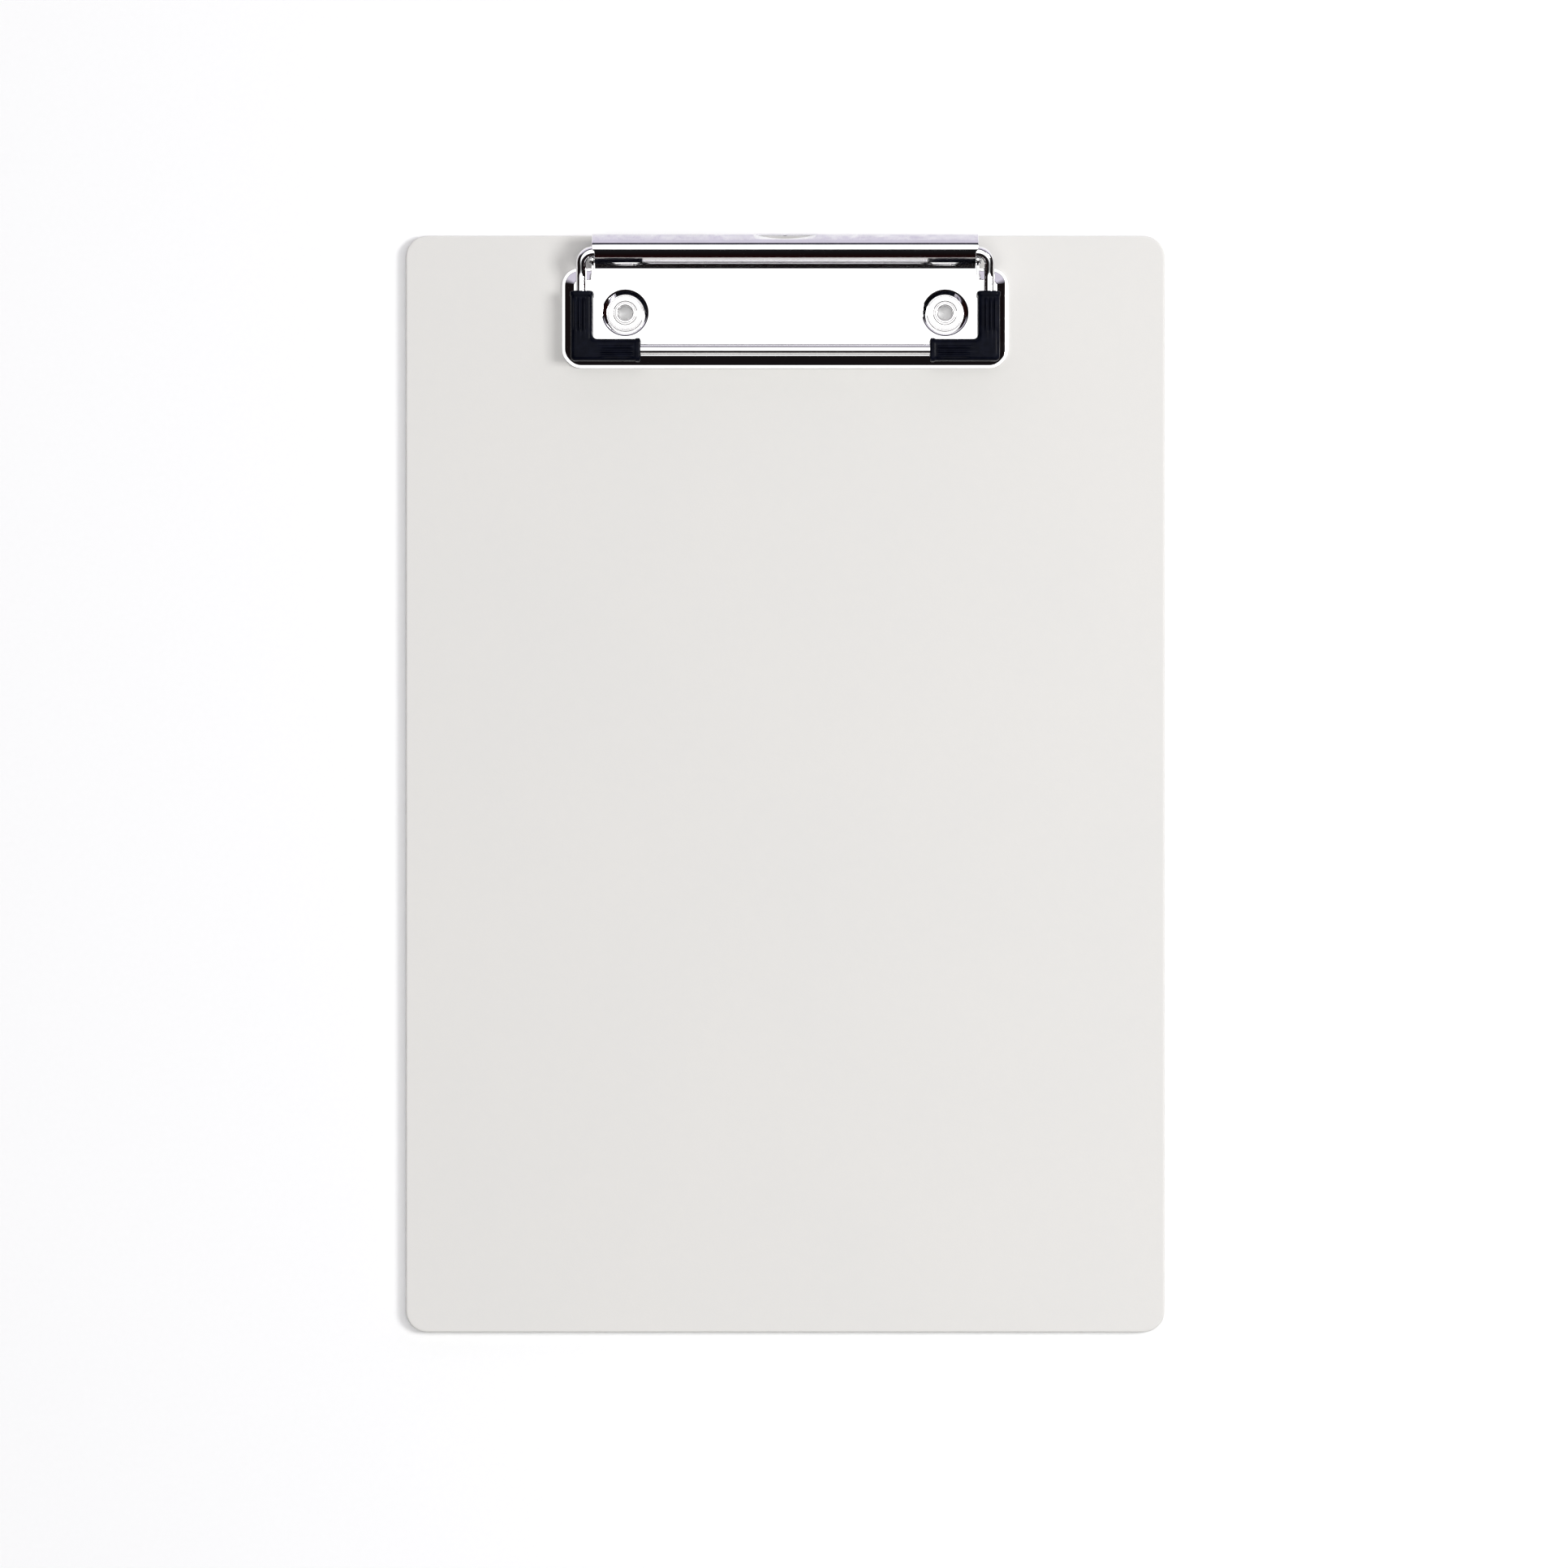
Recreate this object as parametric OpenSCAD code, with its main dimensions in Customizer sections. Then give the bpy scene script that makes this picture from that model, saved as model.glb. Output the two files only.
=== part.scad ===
// A4 clipboard with a low-profile sprung wire clip.
// Origin: centre of the board's underside. +Z up, +Y towards the clip, +X to the right.
// All sizes are in millimetres.

/* [Board] */
// Board width
board_w = 218; // [190:1:260]
// Board length, along Y
board_l = 315; // [250:1:380]
// Board thickness
board_t = 3.0; // [2:0.5:5]
// Radius of the board's corners
board_corner_r = 6.2; // [2:0.1:15]

/* [Base plate] */
// Width of the sheet-metal base plate over its brims
plate_w = 128; // [126:1:140]
// Distance from the board's clip edge to the plate's front brim
plate_setback = 38.1; // [37:0.1:40]
// Height of the plate's flat top above the board
plate_rise = 2.5; // [2.2:0.1:2.5]
// Thickness of the plate's sheet
plate_t = 0.8; // [0.6:0.1:1]
// Steepness of the sloping flanges, in degrees
flange_slope = 32; // [30:1:40]

/* [Press lever] */
// Width of the lever over its bead and flap
lever_w = 110.4; // [110:0.1:111]
// Thickness of the lever's sheet
lever_t = 0.65; // [0.5:0.05:0.7]
// Height of the lever's crest above the board
lever_rise = 10.6; // [10.6:0.1:11.2]
// Length of the sloping rear flap
flap_l = 3.0; // [2.8:0.1:3.1]
// Width of the hanging slot in the flap
slot_w = 17; // [12:1:24]

/* [Wire frame] */
// Diameter of the spring wire
wire_d = 3.0; // [2.8:0.1:3]
// Distance between the centres of the frame's two legs
wire_span = 116.8; // [116.8:0.1:117]
// Distance from the board's clip edge to the front run
wire_setback = 33; // [32:0.1:34]

/* [Rivets] */
// Distance between the two rivets
rivet_pitch = 91.8; // [80:0.1:94]
// Distance from the board's clip edge to the rivets
rivet_setback = 22.3; // [21:0.1:23]
// Bore of the tubular rivets
rivet_bore = 4.2; // [3.6:0.1:4.4]

/* [Hidden] */
$fn = 64;
far = 400;                            // larger than the whole object
clip_edge = board_l / 2;              // the board's edge behind the clip

// Base plate
plate_z = board_t + plate_rise;       // flat top of the plate
plate_front = clip_edge - plate_setback;
plate_half = plate_w / 2;
brim = 0.75;                          // flat rim that lies on the board
front_chamfer = 3.4;
rear_chamfer = 2.0;
wing_rear = clip_edge - 9.5;          // rear foot of the plate beside the lever
tongue_half = 55.6;                   // half-width of the part that runs under the lever
tongue_rear = clip_edge - 4.5;
dimple_top_r = 6.6;
dimple_floor_r = 4.75;
dimple_slope = atan((plate_rise - plate_t) / (dimple_top_r - dimple_floor_r));
dimple_hole_r = dimple_top_r + 0.1;   // cut in the flat top, under the dimple's rim
rivet_y = clip_edge - rivet_setback;
rivet_x = rivet_pitch / 2;
rivet_hole_r = rivet_bore / 2 + 0.5;

// Hinge pin and torsion springs
spring_wire_d = 0.7;
pin_r = 0.9;
coil_mean_r = pin_r + 0.08 + spring_wire_d / 2;
coil_r = coil_mean_r + spring_wire_d / 2;
coil_turns = 9;
coil_l = coil_turns * spring_wire_d;
coil_x = 20;                          // centre of each coil
pin_y = clip_edge - 7.15;
pin_z = plate_z + coil_r + 0.05;
ear_t = plate_t;
ear_r = 1.7;
ear_in = tongue_half - ear_t;         // inner face of each ear
ear_front = clip_edge - 11.5;
ear_rear = clip_edge - 5.6;
pin_head_r = 1.45;
pin_head_l = 0.7;
moving_leg_tilt = 3.5;                // the moving leg just touches the wire from below
moving_leg_l = 5.2;
leg_r = spring_wire_d / 2 - 0.03;     // a little under wire size, so no leg is tangent to the coil

// Press lever, drawn as a section in the YZ plane. Its face is a chain of tangent arcs.
crest = [clip_edge - 4.07, board_t + lever_rise];
crest_r = 1.5;                        // tight roll along the crest
crest_turn = 18;                      // slope at both ends of the tight roll, in degrees
shoulder_r = 6;
face_slope = 49.5;                    // slope of the flat band in the front wall
face_l = 1.0;                         // length of that band
wall_r = 10;                          // the wall steepens along this arc, down to its foot
rear_r = 3.3;
flap_slope = 43;                      // steepness of the rear flap
foot_gap = 0.55;                      // from the wall's foot to the plate
crest_c = crest - [0, crest_r];
shoulder_c = crest_c + (crest_r - shoulder_r) * [-sin(crest_turn), cos(crest_turn)];
wall_c = shoulder_c + (shoulder_r - wall_r) * [-sin(face_slope), cos(face_slope)]
    - face_l * [cos(face_slope), sin(face_slope)];
rear_c = crest_c + (crest_r - rear_r) * [sin(crest_turn), cos(crest_turn)];
lever_half = lever_w / 2;
wall_half = 54.5;                     // the wall and cheeks are narrower than the ears
cheek_t = 0.7;
cheek_r = 1.5;
tab_x = [-42, -8, 8, 42];             // crimped tabs that hold the wire in the bead
tab_w = 8;
slot_rise = 1.6;
slot_rim = 0.5;

// Wire frame
wire_r = wire_d / 2;
bead_y = clip_edge - 5.3;             // the rear run lies here, against the underside of the lever
bead_r = shoulder_r - lever_t - wire_r - 0.05;
bead_c = [bead_y, shoulder_c.y + sqrt(bead_r * bead_r - pow(shoulder_c.x - bead_y, 2))];
leg_x = wire_span / 2;
front_y = clip_edge - wire_setback;
wire_z = plate_z + 2.45;              // centre of the front run
front_bend_r = 4.0;
rear_bend_r = 3.6;
climb = 22;                           // angle at which the legs climb to the lever
climb_r = 6;
butt_gap = 0.6;                       // between the wire's two ends, inside the bead
knuckle_proud = 0.03;                 // each joint in the rear half is a ball, just over wire size
knuckle_lap = 0.1;                    // the straight stretches stop this far short of a joint
leg_top = bead_c - rear_bend_r * [cos(climb), sin(climb)];
climb_l = (leg_top.y - wire_z - climb_r * (1 - cos(climb))) / sin(climb);
climb_y = leg_top.x - climb_r * sin(climb) - climb_l * cos(climb);

// Rubber corners
sleeve_w = 6.3;
sleeve_gap = 0.12;                    // from the sleeve to the plate when the clip is shut
sleeve_top = wire_z + 2.25;
sleeve_bottom = plate_z + sleeve_gap;
sleeve_round = 1.5;
sleeve_out = leg_x + sleeve_w / 2 - 0.15;
sleeve_front = front_y - sleeve_w / 2 - 0.25;
sleeve_l = 20;
collar_l = 1.4;
collar_proud = 0.25;
rib_r = 0.42;
rib_pitch = 1.75;
rib_l = 9.5;

function arc_points(centre, r, from, to, steps) =
    [for (i = [0:steps]) let (a = from + (to - from) * i / steps)
        centre + r * [cos(a), sin(a)]];

// One face of the lever's sheet from the wall's foot over the crest to the flap's edge.
// inset is measured inwards from the outer face.
function lever_face(inset) =
    let (foot_z = plate_z + foot_gap,
         foot_slope = acos((foot_z - wall_c.y) / (wall_r - inset)))
    concat(arc_points(wall_c, wall_r - inset, 90 + foot_slope, 90 + face_slope, 8),
           arc_points(shoulder_c, shoulder_r - inset, 90 + face_slope, 90 + crest_turn, 8),
           lever_back(inset));

// The same face from the front of the crest's tight roll to the flap's edge
function lever_back(inset) =
    let (roll_turn = 0.75 * crest_turn,   // short of the ends, which the next arcs draw
         rear = arc_points(rear_c, rear_r - inset, 90 - crest_turn, 90 - flap_slope, 6),
         edge = rear[len(rear) - 1] + flap_l * [cos(flap_slope), -sin(flap_slope)])
    concat(arc_points(crest_c, crest_r - inset, 90 + roll_turn, 90 - roll_turn, 6),
           rear, [edge]);

function reversed(points) = [for (i = [len(points) - 1:-1:0]) points[i]];

// Stands a YZ section up and extrudes it along X between two planes
module along_x(from, to) {
    translate([from, 0, 0])
        rotate([90, 0, 90])
            linear_extrude(height = to - from)
                children();
}

// Draws the children on both sides of the object
module both_sides() {
    children();
    mirror([1, 0, 0])
        children();
}

module rounded_rectangle(w, l, r) {
    square([w - 2 * r, l], center = true);
    square([w, l - 2 * r], center = true);
    for (x = [-1, 1], y = [-1, 1])
        translate([x * (w / 2 - r), y * (l / 2 - r)])
            circle(r = r);
}

module board() {
    counterbore_r = 5.2;
    counterbore_depth = 1.2;
    color("linen")
        difference() {
            linear_extrude(height = board_t)
                rounded_rectangle(board_w, board_l, board_corner_r);
            for (x = [-rivet_x, rivet_x])
                translate([x, rivet_y, 0]) {
                    translate([0, 0, -1])
                        cylinder(h = board_t + 2, r = rivet_hole_r);
                    translate([0, 0, -1])
                        cylinder(h = 1 + counterbore_depth, r = counterbore_r);
                }
        }
}

// Half-space outside one sloping flange. The slope meets the board's top at distance reach
// from the origin, in the direction azimuth.
module beyond_slope(azimuth, reach) {
    rotate([0, 0, azimuth])
        translate([reach, 0, board_t])
            rotate([0, flange_slope - 90, 0])
                translate([0, -far, -far / 2])
                    cube([far, 2 * far, far]);
}

// The plate's outer form, or with inset and drop the hollow under its sheet
module plate_block(inset, drop, rear) {
    foot = brim - plate_t / tan(flange_slope) + inset;
    difference() {
        translate([-plate_half, plate_front, board_t])
            cube([plate_w, rear - plate_front, plate_z - drop - board_t]);
        beyond_slope(0, plate_half - foot);
        beyond_slope(180, plate_half - foot);
        beyond_slope(-90, -plate_front - foot);
        for (side = [0, 1])
            mirror([side, 0, 0]) {
                beyond_slope(-45, (plate_half - plate_front - front_chamfer) / sqrt(2) - foot);
                intersection() {
                    union() {
                        beyond_slope(90, wing_rear - foot);
                        beyond_slope(45, (plate_half + wing_rear - rear_chamfer) / sqrt(2) - foot);
                    }
                    translate([tongue_half, 0, 0])
                        cube([far, far, far]);
                }
            }
    }
}

module plate_outline() {
    polygon([
        [-plate_half, plate_front + front_chamfer],
        [-plate_half + front_chamfer, plate_front],
        [plate_half - front_chamfer, plate_front],
        [plate_half, plate_front + front_chamfer],
        [plate_half, wing_rear - rear_chamfer],
        [plate_half - rear_chamfer, wing_rear],
        [-plate_half + rear_chamfer, wing_rear],
        [-plate_half, wing_rear - rear_chamfer]
    ]);
}

// Section of the conical dimple that carries the sheet down to the board at a rivet
module dimple() {
    wall = plate_t * tan(dimple_slope / 2);   // offset of the bends below the sheet
    rotate_extrude()
        polygon([
            [rivet_hole_r, board_t],
            [dimple_floor_r + wall, board_t],
            [dimple_top_r + wall, plate_z - plate_t],
            [dimple_top_r + wall, plate_z],
            [dimple_top_r, plate_z],
            [dimple_floor_r, board_t + plate_t],
            [rivet_hole_r, board_t + plate_t]
        ]);
}

module ear() {
    ear_foot = plate_z - plate_t + 0.1;
    rear_z = plate_z + 0.6;
    front_z = plate_z + 0.8;
    neck = [1.4, 0.8];                // where the sides meet the boss, from the pin's centre
    along_x(ear_in, tongue_half)
        difference() {
            union() {
                translate([pin_y, pin_z])
                    circle(r = ear_r);
                polygon([
                    [ear_front, ear_foot],
                    [ear_rear, ear_foot],
                    [ear_rear, rear_z],
                    [pin_y + neck.x, pin_z + neck.y],
                    [pin_y - neck.x, pin_z + neck.y],
                    [ear_front, front_z]
                ]);
            }
            translate([pin_y, pin_z])
                circle(r = pin_r + 0.02);
        }
}

module base_plate() {
    flange_inset = plate_t / sin(flange_slope);
    color("silver") {
        difference() {
            union() {
                plate_block(0, 0, tongue_rear);
                translate([0, 0, board_t])
                    linear_extrude(height = plate_t)
                        plate_outline();
            }
            plate_block(flange_inset, plate_t, tongue_rear - plate_t);
            for (x = [-rivet_x, rivet_x])
                translate([x, rivet_y, 0])
                    cylinder(h = far, r = dimple_hole_r);
        }
        for (x = [-rivet_x, rivet_x])
            translate([x, rivet_y, 0])
                dimple();
        both_sides()
            ear();
    }
}

// Tubular rivet: a barrel with a domed flange on the plate and a rolled end under the washer
module rivet() {
    flange_r = 4.65;
    flange_z = board_t + plate_t;
    rolled_r = 3.9;
    rolled_z = 0.25;
    rolled_t = 0.55;
    color("gainsboro")
        translate([0, rivet_y, 0])
            difference() {
                union() {
                    translate([0, 0, rolled_z])
                        cylinder(h = rolled_t, r = rolled_r);
                    translate([0, 0, rolled_z])
                        cylinder(h = flange_z - rolled_z + 0.1, r = rivet_hole_r - 0.1);
                    translate([0, 0, flange_z])
                        cylinder(h = 0.3, r = flange_r);
                    translate([0, 0, flange_z + 0.3])
                        cylinder(h = 0.6, r1 = flange_r, r2 = flange_r - 1.7);
                }
                translate([0, 0, -1])
                    cylinder(h = board_t + plate_rise + 2, r = rivet_bore / 2);
            }
}

module rivet_washer() {
    washer_r = 4.9;
    washer_z = 0.8;
    washer_t = 0.4;
    color("darkgray")
        translate([0, rivet_y, washer_z])
            difference() {
                cylinder(h = washer_t, r = washer_r);
                translate([0, 0, -1])
                    cylinder(h = washer_t + 2, r = rivet_hole_r);
            }
}

module rivet_left() {
    translate([-rivet_x, 0, 0])
        rivet();
}

module rivet_right() {
    translate([rivet_x, 0, 0])
        rivet();
}

module rivet_washer_left() {
    translate([-rivet_x, 0, 0])
        rivet_washer();
}

module rivet_washer_right() {
    translate([rivet_x, 0, 0])
        rivet_washer();
}

module hinge_pin() {
    shaft_half = tongue_half + 0.05;
    color("gray")
        translate([0, pin_y, pin_z])
            rotate([0, 90, 0]) {
                translate([0, 0, -shaft_half])
                    cylinder(h = 2 * shaft_half, r = pin_r);
                for (side = [0, 1])
                    mirror([0, 0, side])
                        translate([0, 0, shaft_half]) {
                            cylinder(h = pin_head_l / 2, r = pin_head_r);
                            translate([0, 0, pin_head_l / 2])
                                cylinder(h = pin_head_l / 2, r1 = pin_head_r, r2 = pin_head_r * 0.6);
                        }
            }
}

// Lens-shaped slot near the flap's edge, for hanging the board on a nail
module hanging_slot() {
    slot_r = (slot_w * slot_w / 4 + slot_rise * slot_rise) / (2 * slot_rise);
    cut = 10;                         // depth of the cutter, well over the sheet
    face = lever_face(0);
    edge = face[len(face) - 1];
    translate([0, edge.x, edge.y])
        rotate([-flap_slope, 0, 0])
            translate([0, -slot_rim, 0])
                intersection() {
                    translate([0, slot_r - slot_rise, -cut / 2])
                        cylinder(h = cut, r = slot_r);
                    translate([-slot_w, -slot_w, -cut / 2])
                        cube([2 * slot_w, slot_w, cut]);
                }
}

// End cheek of the lever, with the hole that turns on the hinge pin
module cheek() {
    middle = lever_face(lever_t / 2);
    over_wire = [for (i = [0:len(middle) - 2]) middle[i]];
    along_x(wall_half - cheek_t, wall_half)
        difference() {
            union() {
                polygon(concat(over_wire, [
                    over_wire[len(over_wire) - 1] + 0.8 * [cos(flap_slope), -sin(flap_slope)],
                    [pin_y + cheek_r, pin_z],
                    [pin_y, pin_z - cheek_r]
                ]));
                translate([pin_y, pin_z])
                    circle(r = cheek_r);
            }
            translate([pin_y, pin_z])
                circle(r = pin_r + 0.05);
            translate(bead_c)
                circle(r = wire_r + 0.1);
        }
}

// Tab lanced from the sheet and rolled under the wire
module crimp_tab() {
    polygon(concat(
        arc_points(bead_c, wire_r + lever_t, 100, 265, 14),
        arc_points(bead_c, wire_r + 0.1, 265, 100, 14)
    ));
}

module press_lever() {
    color("silver") {
        difference() {
            union() {
                along_x(-wall_half, wall_half)
                    polygon(concat(lever_face(0), reversed(lever_face(lever_t))));
                along_x(-lever_half, lever_half)
                    polygon(concat(lever_back(0), reversed(lever_back(lever_t))));
            }
            hanging_slot();
        }
        for (x = tab_x)
            along_x(x - tab_w / 2, x + tab_w / 2)
                crimp_tab();
        both_sides()
            cheek();
    }
}

// Quarter or part turn of wire. It starts at [bend_r, 0, 0] and heads along +Y.
module wire_arc(bend_r, angle, r) {
    rotate_extrude(angle = angle)
        translate([bend_r, 0])
            circle(r = r);
}

// Front run, corner and straight leg of the right half of the frame
module wire_front_half(r, from_x) {
    translate([from_x, front_y, wire_z])
        rotate([0, 90, 0])
            cylinder(h = leg_x - front_bend_r - from_x, r = r);
    translate([leg_x - front_bend_r, front_y + front_bend_r, wire_z])
        rotate([0, 0, -90])
            wire_arc(front_bend_r, 90, r);
    translate([leg_x, front_y + front_bend_r, wire_z])
        rotate([-90, 0, 0])
            cylinder(h = climb_y - knuckle_lap - front_y - front_bend_r, r = r);
}

// Climb of the right leg, its bend into the bead, and the rear run
module wire_rear_half() {
    climb_end = [leg_top.x - climb_l * cos(climb), leg_top.y - climb_l * sin(climb)];
    bead_x = leg_x - rear_bend_r;
    translate([leg_x, climb_y, wire_z + climb_r])
        rotate([0, 90, 0])
            wire_arc(climb_r, climb, wire_r);
    translate([leg_x, climb_end.x, climb_end.y])
        rotate([climb - 90, 0, 0])
            translate([0, 0, knuckle_lap])
                cylinder(h = climb_l - 2 * knuckle_lap, r = wire_r);
    translate([bead_x, leg_top.x, leg_top.y])
        rotate([climb, 0, 0])
            wire_arc(rear_bend_r, 90, wire_r);
    translate([butt_gap / 2, bead_c.x, bead_c.y])
        rotate([0, 90, 0])
            cylinder(h = bead_x - knuckle_lap - butt_gap / 2, r = wire_r);
    for (joint = [[leg_x, climb_y, wire_z],
                  [leg_x, climb_end.x, climb_end.y],
                  [leg_x, leg_top.x, leg_top.y],
                  [bead_x, bead_c.x, bead_c.y]])
        translate(joint)
            sphere(r = wire_r + knuckle_proud);
}

module wire_frame() {
    color("lightgray")
        both_sides() {
            wire_front_half(wire_r, 0);
            wire_rear_half();
        }
}

// Cross-section of a rubber arm: flat below, rounded on top
module sleeve_section(proud) {
    w = sleeve_w + 2 * proud;
    h = sleeve_top + proud - sleeve_bottom;
    translate([-w / 2, sleeve_bottom])
        square([w, h - sleeve_round]);
    translate([-w / 2 + sleeve_round, sleeve_bottom])
        square([w - 2 * sleeve_round, h]);
    for (side = [-1, 1])
        translate([side * (w / 2 - sleeve_round), sleeve_bottom + h - sleeve_round])
            circle(r = sleeve_round);
}

// One arm of the sleeve, from the outer corner along +Y, with its collar and ribs
module sleeve_arm() {
    rotate([90, 0, 180])
        linear_extrude(height = sleeve_l)
            sleeve_section(0);
    translate([0, sleeve_l - collar_l, 0])
        rotate([90, 0, 180])
            linear_extrude(height = collar_l)
                sleeve_section(collar_proud);
    for (i = [-1, 0, 1])
        translate([i * rib_pitch, sleeve_l - collar_l - rib_l, sleeve_top])
            rotate([-90, 0, 0])
                cylinder(h = rib_l, r = rib_r);
}

module rubber_corner() {
    mitre_x = sleeve_out;
    mitre_y = sleeve_front;
    corner_cut = 1.1;
    color("#14141c")
        difference() {
            union() {
                intersection() {
                    translate([sleeve_out - sleeve_w / 2, sleeve_front, 0])
                        sleeve_arm();
                    translate([mitre_x, mitre_y, 0])
                        rotate([0, 0, 45])
                            translate([0, -far / 2, 0])
                                cube([far, far, far]);
                }
                intersection() {
                    translate([sleeve_out, sleeve_front + sleeve_w / 2, 0])
                        rotate([0, 0, 90])
                            sleeve_arm();
                    translate([mitre_x, mitre_y, 0])
                        rotate([0, 0, 225])
                            translate([0, -far / 2, 0])
                                cube([far, far, far]);
                }
            }
            wire_front_half(wire_r + 0.02, leg_x - sleeve_l - 2);
            translate([mitre_x, mitre_y, 0])
                rotate([0, 0, -45])
                    translate([-corner_cut, -far / 2, 0])
                        cube([far, far, far]);
        }
}

module rubber_corner_right() {
    rubber_corner();
}

module rubber_corner_left() {
    mirror([1, 0, 0])
        rubber_corner();
}

// Close-wound coil on the pin. One leg lies on the plate, the other lifts the wire's rear run.
module torsion_spring() {
    spring_r = spring_wire_d / 2;
    leg_dir = [cos(moving_leg_tilt), sin(moving_leg_tilt)];
    leg_start = [pin_y, pin_z] + coil_mean_r * [-leg_dir.y, leg_dir.x];
    color("slategray") {
        translate([coil_x - coil_l / 2, pin_y, pin_z])
            rotate([0, 90, 0])
                difference() {
                    cylinder(h = coil_l, r = coil_r);
                    translate([0, 0, -1])
                        cylinder(h = coil_l + 2, r = coil_mean_r - spring_r);
                }
        translate([coil_x - coil_l / 2 + spring_r, pin_y, pin_z - coil_mean_r])
            rotate([-90, 0, 0])
                cylinder(h = tongue_rear - pin_y - 0.4, r = leg_r);
        translate([coil_x + coil_l / 2 - spring_r, leg_start.x, leg_start.y])
            rotate([moving_leg_tilt - 90, 0, 0])
                cylinder(h = moving_leg_l, r = leg_r);
    }
}

module torsion_spring_right() {
    torsion_spring();
}

module torsion_spring_left() {
    mirror([1, 0, 0])
        torsion_spring();
}

board();
base_plate();
rivet_left();
rivet_right();
rivet_washer_left();
rivet_washer_right();
hinge_pin();
press_lever();
wire_frame();
rubber_corner_left();
rubber_corner_right();
torsion_spring_left();
torsion_spring_right();
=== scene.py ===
"""An A4 clipboard with a chromed wire clip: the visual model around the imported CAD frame."""
import math

import bmesh
import bpy
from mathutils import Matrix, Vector


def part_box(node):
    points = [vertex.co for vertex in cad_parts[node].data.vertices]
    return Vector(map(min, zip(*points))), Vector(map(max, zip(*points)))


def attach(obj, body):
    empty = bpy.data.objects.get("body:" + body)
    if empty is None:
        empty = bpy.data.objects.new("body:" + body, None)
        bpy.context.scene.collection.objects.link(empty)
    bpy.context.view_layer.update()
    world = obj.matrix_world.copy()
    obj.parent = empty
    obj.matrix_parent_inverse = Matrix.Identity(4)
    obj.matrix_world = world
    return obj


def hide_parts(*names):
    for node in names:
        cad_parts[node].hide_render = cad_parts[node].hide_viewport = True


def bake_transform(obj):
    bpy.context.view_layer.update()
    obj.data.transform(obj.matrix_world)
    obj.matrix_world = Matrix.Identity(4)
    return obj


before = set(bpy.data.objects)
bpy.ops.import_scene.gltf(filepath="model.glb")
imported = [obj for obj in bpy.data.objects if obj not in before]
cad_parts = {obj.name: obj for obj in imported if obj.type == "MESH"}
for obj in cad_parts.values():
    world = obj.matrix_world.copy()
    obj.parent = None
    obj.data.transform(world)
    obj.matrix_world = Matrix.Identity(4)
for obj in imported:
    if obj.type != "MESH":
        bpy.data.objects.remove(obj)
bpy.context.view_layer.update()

MM = 0.001
ROOT = "board_body"
CLAMP = "clamp_body"
SIDES = ((-1, "left"), (1, "right"))
scene = bpy.context.scene

# ---------------------------------------------------------------- sizes, in millimetres

def node_box(name):
    """Lowest and highest corner of a CAD node, in millimetres."""
    low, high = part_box(name)
    return low / MM, high / MM


BOARD_LOW, BOARD_HIGH = node_box("board")
PLATE_LOW, PLATE_HIGH = node_box("base_plate")
LEVER_LOW, LEVER_HIGH = node_box("press_lever")
WIRE_LOW, WIRE_HIGH = node_box("wire_frame")
PIN_LOW, PIN_HIGH = node_box("hinge_pin")
RIVET_LOW, RIVET_HIGH = node_box("rivet_right")
SLEEVE_LOW, SLEEVE_HIGH = node_box("rubber_corner_right")
SPRING_LOW, SPRING_HIGH = node_box("torsion_spring_right")

BOARD_T = BOARD_HIGH.z
BOARD_CORNER_R = 6.2
BOARD_EDGE_R = 0.55

PLATE_T = 0.8
PLATE_RISE = 2.5
PLATE_Z = BOARD_T + PLATE_RISE        # flat top of the base plate
PLATE_FOOT_Z = BOARD_T + PLATE_T      # top of the brim and of the dimples' floors
PLATE_HALF = PLATE_HIGH.x
PLATE_FRONT = PLATE_LOW.y
TONGUE_HALF = 55.6
TONGUE_L = 5.0
TONGUE_REAR = PLATE_HIGH.y
WING_REAR = TONGUE_REAR - TONGUE_L
FRONT_CHAMFER = 3.4
BRIM = 0.75
FLANGE_SLOPE = math.radians(32)
DIMPLE_TOP_R = 6.6
DIMPLE_FLOOR_R = 4.75

PIN_Y = (PIN_LOW.y + PIN_HIGH.y) / 2
PIN_Z = (PIN_LOW.z + PIN_HIGH.z) / 2
PIN_R = 0.9

RIVET_X = (RIVET_LOW.x + RIVET_HIGH.x) / 2
RIVET_Y = (RIVET_LOW.y + RIVET_HIGH.y) / 2
BORE_R = 2.1
RIVET_HOLE_R = BORE_R + 0.5           # hole in the board, the plate and the washer
COUNTERBORE_R = 5.2
WASHER_R = 4.9
WASHER_LOW_Z, WASHER_HIGH_Z = 0.8, 1.2

WIRE_R = 1.5
WIRE_RISE = 2.45                      # from the plate's flat top to the front run's centre line
LEG_X = WIRE_HIGH.x - WIRE_R
FRONT_Y = WIRE_LOW.y + WIRE_R
WIRE_Z = PLATE_Z + WIRE_RISE
FRONT_BEND_R = 4.0
REAR_BEND_R = 3.6
CLIMB = math.radians(22)              # slope of the legs up to the lever's bead
CLIMB_R = 6.0
BUTT_GAP = 0.6                        # between the wire's two ends, inside the bead

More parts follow.
